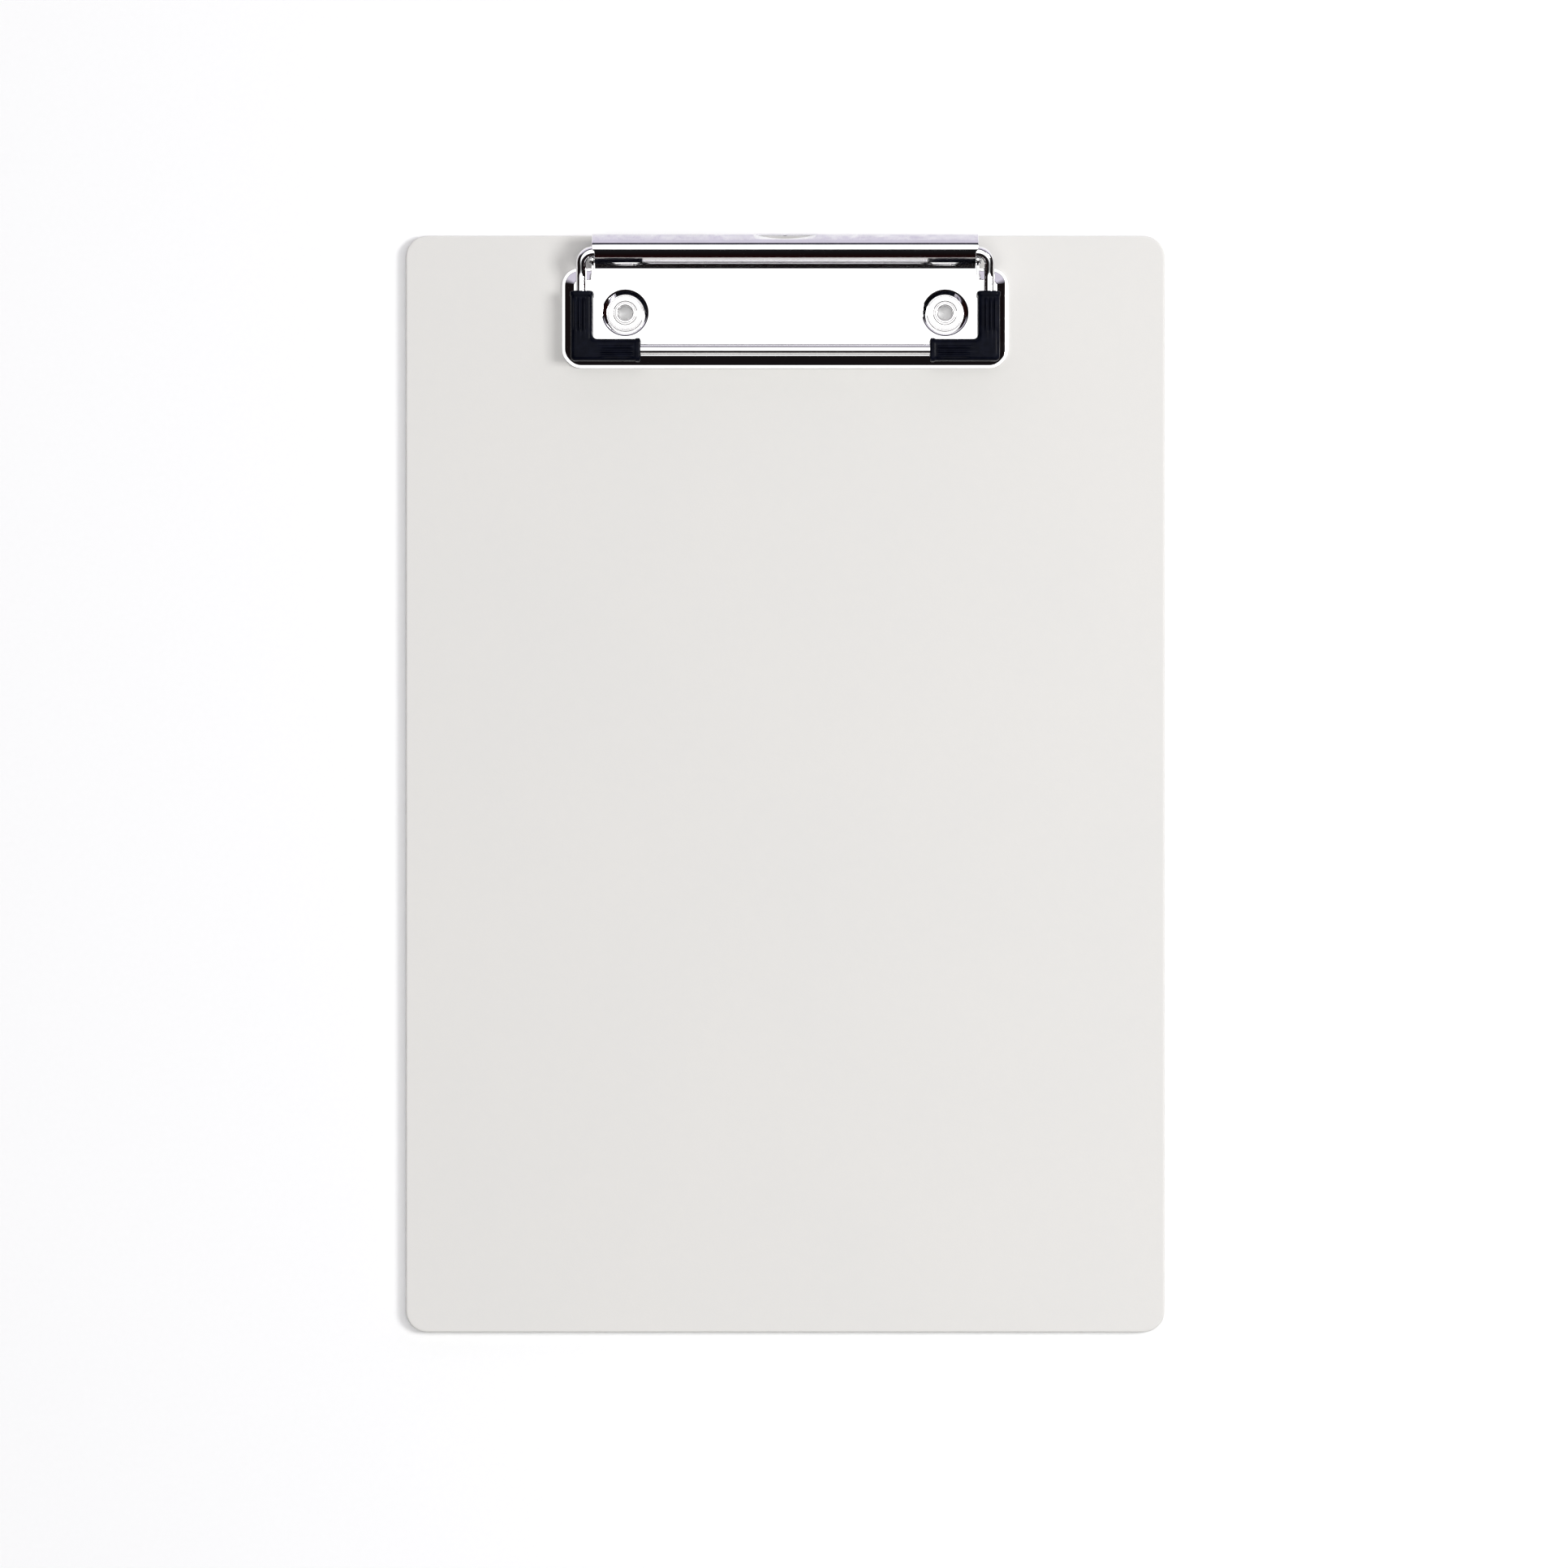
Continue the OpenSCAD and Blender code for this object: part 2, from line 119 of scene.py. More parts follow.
CLIP_EDGE = BOARD_HIGH.y
LEVER_T = 0.65
LEVER_HALF = LEVER_HIGH.x
WALL_HALF = 54.5                      # the wall is narrower than the crest and the flap
FOOT_Z = LEVER_LOW.z
CREST_INSET = 4.07                    # from the board's rear edge
CREST = Vector((CLIP_EDGE - CREST_INSET, LEVER_HIGH.z))
CREST_R = 1.5                         # tight roll along the crest
CREST_TURN = math.radians(18)
SHOULDER_R = 6.0
FACE_SLOPE = math.radians(49.5)       # flat band in the front wall
FACE_L = 1.0
WALL_R = 10.0
REAR_R = 3.3
FLAP_SLOPE = math.radians(43)
FLAP_L = 3.0
SLOT_HALF = 8.5                       # lens-shaped hanging slot in the flap
SLOT_RISE = 1.6
SLOT_RIM = 0.5
SLOT_R = (SLOT_HALF ** 2 + SLOT_RISE ** 2) / (2 * SLOT_RISE)


def facing(slope):
    """Outward normal, in the YZ plane, of a face that slopes down towards the front."""
    return Vector((-math.sin(slope), math.cos(slope)))


CREST_C = CREST - Vector((0, CREST_R))
SHOULDER_C = CREST_C + (CREST_R - SHOULDER_R) * facing(CREST_TURN)
FACE_RUN = FACE_L * Vector((math.cos(FACE_SLOPE), math.sin(FACE_SLOPE)))
WALL_C = SHOULDER_C + (SHOULDER_R - WALL_R) * facing(FACE_SLOPE) - FACE_RUN
REAR_C = CREST_C + (CREST_R - REAR_R) * facing(-CREST_TURN)
FLAP_RUN = Vector((math.cos(FLAP_SLOPE), -math.sin(FLAP_SLOPE)))

BEAD_INSET = 5.3                      # from the board's rear edge to the wire in the bead
BEAD_GAP = 0.05
BEAD_Y = CLIP_EDGE - BEAD_INSET
BEAD_R = SHOULDER_R - LEVER_T - WIRE_R - BEAD_GAP
BEAD_C = Vector((BEAD_Y, SHOULDER_C.y + math.sqrt(BEAD_R ** 2 - (SHOULDER_C.x - BEAD_Y) ** 2)))


# ---------------------------------------------------------------- mesh helpers

def add_piece(name, bm, material, body, nodes=()):
    """Makes an object of a bmesh drawn in millimetres, and ties it to its CAD body."""
    bmesh.ops.scale(bm, vec=(MM, MM, MM), verts=bm.verts)
    mesh = bpy.data.meshes.new(name)
    bm.normal_update()
    bm.to_mesh(mesh)
    bm.free()
    mesh.shade_smooth()
    obj = bpy.data.objects.new(name, mesh)
    scene.collection.objects.link(obj)
    mesh.materials.append(material)
    if body:
        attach(obj, body)
    if nodes:
        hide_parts(*nodes)
    return obj


def soften(obj, width, segments, angle):
    """Rounds the sharp edges and weights the normals by face area, so flat faces stay flat."""
    bevel = obj.modifiers.new("edge_round", "BEVEL")
    bevel.width = width * MM
    bevel.segments = segments
    bevel.limit_method = "ANGLE"
    bevel.angle_limit = math.radians(angle)
    weighted = obj.modifiers.new("flat_faces", "WEIGHTED_NORMAL")
    weighted.keep_sharp = True


def thicken(obj, thickness):
    """Gives a sheet its thickness, away from its visible face."""
    solid = obj.modifiers.new("sheet_thickness", "SOLIDIFY")
    solid.thickness = thickness * MM
    solid.offset = -1
    solid.use_even_offset = True


def smooth_step(x, low, high):
    """Eases from 0 at low to 1 at high."""
    t = max(0.0, min(1.0, (x - low) / (high - low)))
    return t * t * (3 - 2 * t)


def arc_points(centre, radius, start, end, steps):
    """2D points on an arc, between two angles in degrees."""
    points = []
    for i in range(steps + 1):
        a = math.radians(start + (end - start) * i / steps)
        points.append((centre[0] + radius * math.cos(a), centre[1] + radius * math.sin(a)))
    return points


def fillet(before, corner, after, radius, steps):
    """Points of an arc that rounds a 2D corner."""
    a = (Vector(before) - Vector(corner)).normalized()
    b = (Vector(after) - Vector(corner)).normalized()
    half = math.acos(max(-1, min(1, a.dot(b)))) / 2
    centre = Vector(corner) + (a + b).normalized() * radius / math.sin(half)
    start = Vector(corner) + a * radius / math.tan(half) - centre
    end = Vector(corner) + b * radius / math.tan(half) - centre
    sweep = math.pi - 2 * half
    side = 1 if start.x * end.y - start.y * end.x > 0 else -1
    points = []
    for i in range(steps + 1):
        turn = side * sweep * i / steps
        c, s = math.cos(turn), math.sin(turn)
        points.append(centre + Vector((start.x * c - start.y * s, start.x * s + start.y * c)))
    return points


def rounded_path(corners, radii, steps):
    """A 2D path through corners, with each inner corner rounded by its radius."""
    points = [Vector(corners[0])]
    for i in range(1, len(corners) - 1):
        points += fillet(corners[i - 1], corners[i], corners[i + 1], radii[i - 1], steps)
    points.append(Vector(corners[-1]))
    return points


def bridge(bm, ring_a, ring_b, closed):
    """Quads between two rows of vertices."""
    count = len(ring_a)
    for i in range(count if closed else count - 1):
        j = (i + 1) % count
        corners = [ring_a[i], ring_a[j], ring_b[j], ring_b[i]]
        unique = list(dict.fromkeys(corners))
        if len(unique) > 2:
            bm.faces.new(unique)


def bridge_rows(bm, rows, closed):
    """Quads between each row of vertices and the next."""
    for a, b in zip(rows, rows[1:]):
        bridge(bm, a, b, closed)


def lathe(bm, profile, place, steps=96, closed_profile=True):
    """Revolves (radius, height) points. place turns (x, y, height) into a position."""
    rings = []
    for r, h in profile:
        ring = []
        for i in range(steps):
            a = 2 * math.pi * i / steps
            ring.append(bm.verts.new(place(r * math.cos(a), r * math.sin(a), h)))
        rings.append(ring)
    bridge_rows(bm, rings, closed=True)
    if closed_profile:
        bridge(bm, rings[-1], rings[0], closed=True)
    return rings


def loop_edges(bm, verts, closed=True):
    """Edges between the vertices of a row, made where they don't exist."""
    edges = []
    for i in range(len(verts) if closed else len(verts) - 1):
        pair = (verts[i], verts[(i + 1) % len(verts)])
        edges.append(bm.edges.get(pair) or bm.edges.new(pair))
    return edges


def fill(bm, edges, normal):
    """Fills a flat outline, with its holes."""
    bmesh.ops.triangle_fill(bm, edges=edges, use_beauty=True, normal=normal)


def prism(name, outline, x_from, x_to, material, body, edge):
    """Extrudes a YZ outline along X."""
    bm = bmesh.new()
    near = [bm.verts.new((x_from, y, z)) for y, z in outline]
    far = [bm.verts.new((x_to, y, z)) for y, z in outline]
    bm.faces.new(near)
    bm.faces.new(list(reversed(far)))
    bridge(bm, far, near, closed=True)
    bmesh.ops.recalc_face_normals(bm, faces=bm.faces)
    soften(add_piece(name, bm, material, body), width=edge, segments=2, angle=50)


def tube(bm, path, radius, sides):
    """Sweeps a circle along a path of points, with frames that don't twist."""
    rings = []
    last = len(path) - 1
    tangent = (path[1] - path[0]).normalized()
    across = tangent.orthogonal().normalized()
    for i, point in enumerate(path):
        ahead = (path[min(i + 1, last)] - path[max(i - 1, 0)]).normalized()
        across = tangent.rotation_difference(ahead) @ across
        tangent = ahead
        other = tangent.cross(across)
        ring = []
        for k in range(sides):
            a = 2 * math.pi * k / sides
            ring.append(bm.verts.new(point + radius * (math.cos(a) * across + math.sin(a) * other)))
        rings.append(ring)
    bridge_rows(bm, rings, closed=True)
    bm.faces.new(list(reversed(rings[0])))
    bm.faces.new(rings[-1])
    bmesh.ops.recalc_face_normals(bm, faces=bm.faces)


def face_upwards(bm):
    """Turns the faces of an open sheet the same way, with its visible side up."""
    bmesh.ops.recalc_face_normals(bm, faces=bm.faces)
    if sum(f.normal.z * f.calc_area() for f in bm.faces) < 0:
        bmesh.ops.reverse_faces(bm, faces=bm.faces)


# ---------------------------------------------------------------- materials

def new_material(name):
    """A material with nodes: itself, its tree, its shader and the object's own coordinates."""
    material = bpy.data.materials.new(name)
    material.use_nodes = True
    tree = material.node_tree
    shader = tree.nodes["Principled BSDF"]
    coords = tree.nodes.new("ShaderNodeTexCoord")
    return material, tree, shader, coords.outputs["Object"]


def noise(tree, coords, scale, detail=3.0, roughness=0.5):
    """Noise from 0 to 1. The scale is in cells to the metre."""
    node = tree.nodes.new("ShaderNodeTexNoise")
    node.inputs["Scale"].default_value = scale
    node.inputs["Detail"].default_value = detail
    node.inputs["Roughness"].default_value = roughness
    tree.links.new(coords, node.inputs["Vector"])
    return node.outputs["Fac"]


def stretched(tree, coords, scale):
    """Coordinates scaled along each axis, for a pattern with a direction."""
    node = tree.nodes.new("ShaderNodeMapping")
    node.inputs["Scale"].default_value = scale
    tree.links.new(coords, node.inputs["Vector"])
    return node.outputs["Vector"]


def remap(tree, value, low, high, out_low, out_high):
    """Maps low..high to out_low..out_high, and holds it there beyond them."""
    node = tree.nodes.new("ShaderNodeMapRange")
    node.inputs["From Min"].default_value = low
    node.inputs["From Max"].default_value = high
    node.inputs["To Min"].default_value = out_low
    node.inputs["To Max"].default_value = out_high
    tree.links.new(value, node.inputs["Value"])
    return node.outputs["Result"]


def combine(tree, operation, a, b):
    """The sum or product of two values."""
    node = tree.nodes.new("ShaderNodeMath")
    node.operation = operation
    tree.links.new(a, node.inputs[0])
    tree.links.new(b, node.inputs[1])
    return node.outputs["Value"]


def two_tones(tree, factor, first, second):
    """A colour between two, by a factor."""
    node = tree.nodes.new("ShaderNodeMix")
    node.data_type = "RGBA"
    node.inputs["A"].default_value = (*first, 1)
    node.inputs["B"].default_value = (*second, 1)
    tree.links.new(factor, node.inputs["Factor"])
    return node.outputs["Result"]


def bump(tree, shader, height, distance, strength):
    """Tilts the shader's normal by a height, whose full depth is distance metres."""
    node = tree.nodes.new("ShaderNodeBump")
    node.inputs["Distance"].default_value = distance
    node.inputs["Strength"].default_value = strength
    tree.links.new(height, node.inputs["Height"])
    tree.links.new(node.outputs["Normal"], shader.inputs["Normal"])


def chrome(name, tone, roughness, waviness):
    """Bright plating: smudged roughness, faint tone changes and a slightly wavy surface."""
    material, tree, shader, coords = new_material(name)
    shader.inputs["Metallic"].default_value = 1.0
    smudge = noise(tree, coords, 90.0, detail=4.0)
    speck = noise(tree, coords, 900.0, detail=2.0)
    mixed = combine(tree, "MULTIPLY", smudge, speck)
    tree.links.new(remap(tree, mixed, 0.12, 0.42, roughness * 0.5, roughness * 1.8),
                   shader.inputs["Roughness"])
    darker = tuple(c * 0.93 for c in tone)
    tree.links.new(two_tones(tree, remap(tree, smudge, 0.35, 0.7, 0.0, 1.0), tone, darker),
                   shader.inputs["Base Color"])
    bump(tree, shader, noise(tree, coords, 260.0, detail=1.0), 0.0001, waviness)
    return material


def steel(name, tone, roughness, grain):
    """Plain steel with a drawn grain along X."""
    material, tree, shader, coords = new_material(name)
    shader.inputs["Metallic"].default_value = 1.0
    lines = noise(tree, stretched(tree, coords, (0.05, 1.0, 1.0)), 3500.0, detail=2.0)
    tree.links.new(remap(tree, lines, 0.3, 0.7, roughness * 0.7, roughness * 1.4),
                   shader.inputs["Roughness"])
    stain = noise(tree, coords, 400.0, detail=3.0)
    darker = tuple(c * 0.72 for c in tone)
    tree.links.new(two_tones(tree, remap(tree, stain, 0.4, 0.75, 0.0, 1.0), tone, darker),
                   shader.inputs["Base Color"])
    bump(tree, shader, lines, 0.00005, grain)
    return material


def rubber(name):
    """Moulded rubber: near-black blue, satin, with a fine pebble and paler rubbed spots."""
    material, tree, shader, coords = new_material(name)
    rubbed = noise(tree, coords, 420.0, detail=4.0)
    pebble = noise(tree, coords, 5200.0, detail=2.0)
    deep, pale = (0.0015, 0.002, 0.0055), (0.005, 0.006, 0.013)
    tree.links.new(two_tones(tree, remap(tree, rubbed, 0.4, 0.8, 0.0, 1.0), deep, pale),
                   shader.inputs["Base Color"])
    tree.links.new(remap(tree, rubbed, 0.3, 0.7, 0.26, 0.40), shader.inputs["Roughness"])
    shader.inputs["Specular IOR Level"].default_value = 0.05
    bump(tree, shader, pebble, 0.00006, 0.35)
    return material


def board_plastic(name):
    """Off-white matt sheet: warm and cool clouds, fine speckle and a leathery grain."""
    material, tree, shader, coords = new_material(name)
    clouds = noise(tree, coords, 14.0, detail=5.0, roughness=0.6)
    grain = noise(tree, coords, 1500.0, detail=3.0, roughness=0.6)
    speck = noise(tree, coords, 420.0, detail=2.0)
    both = combine(tree, "ADD", remap(tree, clouds, 0.3, 0.7, 0.0, 0.75),
                   remap(tree, speck, 0.3, 0.7, 0.0, 0.25))
    warm, cool = (0.716, 0.702, 0.675), (0.700, 0.690, 0.668)
    tree.links.new(two_tones(tree, both, warm, cool), shader.inputs["Base Color"])
    tree.links.new(remap(tree, speck, 0.3, 0.7, 0.50, 0.62), shader.inputs["Roughness"])
    shader.inputs["Specular IOR Level"].default_value = 0.35
    bump(tree, shader, grain, 0.00008, 0.22)
    return material


def floor_paper(name):
    """White matt paper with faint fibres."""
    material, tree, shader, coords = new_material(name)
    fibres = noise(tree, coords, 600.0, detail=4.0)
    grey, white = (0.93, 0.93, 0.93), (0.96, 0.96, 0.96)
    tree.links.new(two_tones(tree, fibres, grey, white), shader.inputs["Base Color"])
    shader.inputs["Roughness"].default_value = 0.9
    return material


PLATE_CHROME = chrome("plate_chrome", (0.93, 0.925, 0.93), 0.05, 0.05)
LEVER_CHROME = chrome("lever_chrome", (0.93, 0.925, 0.935), 0.06, 0.10)
WIRE_CHROME = chrome("wire_chrome", (0.92, 0.915, 0.93), 0.07, 0.30)
RIVET_CHROME = chrome("rivet_chrome", (0.90, 0.89, 0.89), 0.08, 0.12)
PIN_STEEL = steel("pin_steel", (0.72, 0.72, 0.73), 0.22, 0.3)
WASHER_STEEL = steel("washer_steel", (0.66, 0.66, 0.65), 0.32, 0.3)
SPRING_STEEL = steel("spring_steel", (0.52, 0.52, 0.54), 0.28, 0.3)
RUBBER = rubber("rubber")
BOARD_PLASTIC = board_plastic("board_plastic")
FLOOR_PAPER = floor_paper("floor_paper")


# ---------------------------------------------------------------- board

def rounded_outline(half_w, half_l, radius, steps=14):
    """Points round a rounded rectangle, anticlockwise."""
    points = []
    for quarter, (sx, sy) in enumerate([(1, 1), (-1, 1), (-1, -1), (1, -1)]):
        centre = (sx * (half_w - radius), sy * (half_l - radius))
        points += arc_points(centre, radius, 90 * quarter, 90 * quarter + 90, steps)
    return points


def circle_ring(bm, centre, radius, z, steps=64):
    """A level ring of vertices."""
    return [bm.verts.new((centre[0] + radius * math.cos(2 * math.pi * i / steps),
                          centre[1] + radius * math.sin(2 * math.pi * i / steps), z))
            for i in range(steps)]


def board_edge(rim, steps=5):
    """(inset, height) points round the board's edge, with a flat rim on the back and the face."""
    turns = [math.radians(90 * i / steps) for i in range(steps + 1)]
    lower = [(BOARD_EDGE_R * (1 - math.sin(a)), BOARD_EDGE_R * (1 - math.cos(a))) for a in turns]
    upper = [(inset, BOARD_T - z) for inset, z in reversed(lower)]
    return [(lower[0][0] + rim, 0.0)] + lower + upper + [(upper[-1][0] + rim, BOARD_T)]


def rivet_hole(bm, centre, rim):
    """Rings down a counterbored hole, from the board's back to its face, with a flat rim on both."""
    profile = [(COUNTERBORE_R + rim, 0.0), (COUNTERBORE_R, 0.0), (COUNTERBORE_R, WASHER_HIGH_Z),
               (RIVET_HOLE_R, WASHER_HIGH_Z), (RIVET_HOLE_R, BOARD_T), (RIVET_HOLE_R + rim, BOARD_T)]
    rings = [circle_ring(bm, centre, radius, z) for radius, z in profile]
    bridge_rows(bm, rings, closed=True)
    return rings


def build_board():
    """A flat sheet with rounded edges. The flat rims keep its shading even."""
    edge_rim, hole_rim = 0.6, 0.8
    half_w, half_l = BOARD_HIGH.x, BOARD_HIGH.y
    bm = bmesh.new()
    rings = []
    for inset, z in board_edge(edge_rim):
        outline = rounded_outline(half_w - inset, half_l - inset, BOARD_CORNER_R - inset)
        rings.append([bm.verts.new((x, y, z)) for x, y in outline])
    bridge_rows(bm, rings, closed=True)
    top_edges = loop_edges(bm, rings[-1])
    back_edges = loop_edges(bm, rings[0])
    for side, _ in SIDES:
        hole = rivet_hole(bm, (side * RIVET_X, RIVET_Y), hole_rim)
        back_edges += loop_edges(bm, hole[0])
        top_edges += loop_edges(bm, hole[-1])
    fill(bm, top_edges, (0, 0, 1))
    fill(bm, back_edges, (0, 0, -1))
    bmesh.ops.recalc_face_normals(bm, faces=bm.faces)
    board = add_piece("board_sheet", bm, BOARD_PLASTIC, ROOT, ["board"])
    soften(board, width=0.12, segments=2, angle=60)


# ---------------------------------------------------------------- base plate

def at_rivet(side):
    """Places a lathe's points round the rivet on that side."""
    return lambda x, y, z: (side * RIVET_X + x, RIVET_Y + y, z)


def flange_samples(reach):
    """Centre and outward normal of each sample round the plate's open outline.

    The centres lie at a distance of reach inside the outline, and the flanges turn about them.
    """
    diagonal = math.sqrt(0.5)
    rear_steps, chamfer_steps = 10, 6
    corners = [
        ((-PLATE_HALF, WING_REAR), (0, 1), (-1, 0), rear_steps),
        ((-PLATE_HALF, PLATE_FRONT + FRONT_CHAMFER), (-1, 0), (-diagonal, -diagonal), chamfer_steps),
        ((-PLATE_HALF + FRONT_CHAMFER, PLATE_FRONT), (-diagonal, -diagonal), (0, -1), chamfer_steps),
        ((PLATE_HALF - FRONT_CHAMFER, PLATE_FRONT), (0, -1), (diagonal, -diagonal), chamfer_steps),
        ((PLATE_HALF, PLATE_FRONT + FRONT_CHAMFER), (diagonal, -diagonal), (1, 0), chamfer_steps),
        ((PLATE_HALF, WING_REAR), (1, 0), (0, 1), rear_steps),
    ]
    samples = [(Vector((-TONGUE_HALF, WING_REAR - reach)), Vector((0, 1)))]
    for corner, normal_a, normal_b, steps in corners:
        a, b = Vector(normal_a), Vector(normal_b)
        point = Vector(corner)
        da, db = point.dot(a) - reach, point.dot(b) - reach
        det = a.x * b.y - a.y * b.x
        centre = Vector(((da * b.y - db * a.y) / det, (a.x * db - b.x * da) / det))
        start = math.atan2(a.y, a.x)
        turn = math.atan2(det, a.dot(b))
        for i in range(steps + 1):
            angle = start + turn * i / steps
            samples.append((centre, Vector((math.cos(angle), math.sin(angle)))))
    samples.append((Vector((TONGUE_HALF, WING_REAR - reach)), Vector((0, 1))))
    return samples


def add_flanges(bm):
    """Rows of vertices along the plate's outline, from its brim in to the flat top."""
    bend_in, bend_out = 0.5, 0.9
    flat_w = 1.0                      # strip of the flat top that belongs to the flanges
    support = 0.2                     # width of the flat strip beside the tongue's fill
    turn_r = 0.5                      # radius of the innermost row at the corners
    slope_w = (PLATE_Z - PLATE_FOOT_Z) / math.tan(FLANGE_SLOPE)
    flat_to = BRIM + slope_w + flat_w
    profile = rounded_path([(0, PLATE_FOOT_Z), (BRIM, PLATE_FOOT_Z), (BRIM + slope_w, PLATE_Z),
                            (flat_to, PLATE_Z)], [bend_in, bend_out], 7)
    profile.insert(len(profile) - 1, Vector((flat_to - support, PLATE_Z)))
    reach = flat_to + turn_r
    samples = flange_samples(reach)
    rows = []
    for inset, z in profile:
        places = [centre + normal * (reach - inset) for centre, normal in samples]
        rows.append([bm.verts.new((at.x, at.y, z)) for at in places])
    bridge_rows(bm, rows, closed=False)
    return rows


def add_tongue(bm, flat_rows):
    """Bends the tongue's rear edge down to the board, and returns the edges round the flat part.

    flat_rows are the flanges' rows that lie in the flat top, from the inside out.
    """
    strip, bend_r, board_gap = 3, 0.9, 0.05
    rear = rounded_path([(TONGUE_REAR - strip, PLATE_Z), (TONGUE_REAR, PLATE_Z),
                         (TONGUE_REAR, BOARD_T + board_gap)], [bend_r], 8)
    left = [bm.verts.new((-TONGUE_HALF, y, z)) for y, z in rear]
    right = [bm.verts.new((TONGUE_HALF, y, z)) for y, z in rear]
    bridge(bm, left, right, closed=False)
    edges = loop_edges(bm, [row[-1] for row in flat_rows] + [right[0]], closed=False)
    edges += loop_edges(bm, [right[0], left[0]], closed=False)
    edges += loop_edges(bm, [row[0] for row in flat_rows] + [left[0]], closed=False)
    return edges


def add_dimples(bm):
    """Presses a round dimple for each rivet, and returns the edges of their rims."""
    rim_r, rim_w = 7.9, 0.3
    top_bend, floor_bend = 1.7, 0.3
    profile = rounded_path([(rim_r, PLATE_Z), (DIMPLE_TOP_R, PLATE_Z),
                            (DIMPLE_FLOOR_R, PLATE_FOOT_Z), (RIVET_HOLE_R, PLATE_FOOT_Z)],
                           [top_bend, floor_bend], 10)
    profile.insert(1, Vector((rim_r - rim_w, PLATE_Z)))
    edges = []
    for side, _ in SIDES:
        rims = lathe(bm, profile, at_rivet(side), closed_profile=False)
        edges += loop_edges(bm, rims[0])
    return edges


def build_plate_sheet():
    """One pressed sheet: brim, sloping flanges, flat top, tongue and two dimples."""
    bm = bmesh.new()
    rows = add_flanges(bm)
    edges = loop_edges(bm, rows[-1], closed=False)
    edges += add_tongue(bm, rows[-1:-4:-1])
    edges += add_dimples(bm)
    fill(bm, edges, (0, 0, 1))
    face_upwards(bm)
    plate = add_piece("base_plate_sheet", bm, PLATE_CHROME, ROOT, ["base_plate"])
    thicken(plate, PLATE_T)
    soften(plate, width=0.16, segments=2, angle=50)


def build_plate_ears():
    """Upright ears at the tongue's ends. A round boss on each carries the pin."""
    boss_r = 1.7
    front, rear = CLIP_EDGE - 11.5, CLIP_EDGE - 5.6
    foot = PLATE_Z - 0.4              # sunk into the plate's sheet
    front_neck, rear_neck = PLATE_Z + 0.8, PLATE_Z + 0.6
    outline = [(rear, foot), (rear, rear_neck)]
    outline += arc_points((PIN_Y, PIN_Z), boss_r, -10, 190, 16)
    outline += [(front, front_neck), (front, foot)]
    for side, word in SIDES:
        low, high = sorted((side * (TONGUE_HALF - PLATE_T), side * TONGUE_HALF))
        prism("plate_ear_" + word, outline, low, high, PLATE_CHROME, ROOT,
              edge=0.14)


# ---------------------------------------------------------------- rivets, washers and pin

def rivet_profile():
    """(radius, height) points round the eyelet's wall: bore, head, barrel and rolled back."""
    roll_r, groove_r, crown_r, head_r = 2.95, 3.1, 3.5, 4.65
    roll_z, groove_z = PLATE_FOOT_Z + 0.88, PLATE_FOOT_Z + 0.12
    crown_z, head_z, under_z = PLATE_FOOT_Z + 0.5, PLATE_FOOT_Z + 0.4, PLATE_FOOT_Z + 0.02
    barrel_r, back_r = BORE_R + 0.4, 3.9
    corners = [                       # each with the radius that rounds it
        ((BORE_R, roll_z), 0.42), ((roll_r, roll_z), 0.4), ((groove_r, groove_z), 0.12),
        ((crown_r, crown_z), 0.25), ((head_r, head_z), 0.32), ((head_r, under_z), 0.02),
        ((barrel_r, under_z), 0.05), ((barrel_r, WASHER_LOW_Z), 0.05),
        ((back_r, WASHER_LOW_Z), 0.2), ((back_r, RIVET_LOW.z), 0.25), ((BORE_R, RIVET_LOW.z), 0.3),
    ]
    start, end = (BORE_R, PLATE_FOOT_Z - 1.0), (BORE_R, PLATE_FOOT_Z - 1.2)
    return rounded_path([start] + [corner for corner, _ in corners] + [end],
                        [radius for _, radius in corners], 7)


def washer_profile():
    """(radius, height) points round the washer, from the middle of its lower face."""
    outer_edge, inner_edge, top_edge = 0.12, 0.12, 0.05
    start_r, end_r = 3.5, 3.4
    return rounded_path([(start_r, WASHER_LOW_Z), (WASHER_R, WASHER_LOW_Z),
                         (WASHER_R, WASHER_HIGH_Z), (RIVET_HOLE_R, WASHER_HIGH_Z),
                         (RIVET_HOLE_R, WASHER_LOW_Z), (end_r, WASHER_LOW_Z)],
                        [outer_edge, top_edge, top_edge, inner_edge], 3)


def build_turned(name, profile, side, material, node):
    """A closed ring, turned about the rivet's axis on one side."""
    bm = bmesh.new()
    lathe(bm, profile, at_rivet(side))
    bmesh.ops.recalc_face_normals(bm, faces=bm.faces)
    add_piece(name, bm, material, ROOT, [node])


def build_rivet(side, word):
    """One eyelet, open right through, and the backing ring that its rolled end bites on."""
    build_turned("rivet_" + word + "_eyelet", rivet_profile(), side, RIVET_CHROME,
                 "rivet_" + word)
    build_turned("rivet_washer_" + word + "_ring", washer_profile(), side, WASHER_STEEL,
                 "rivet_washer_" + word)


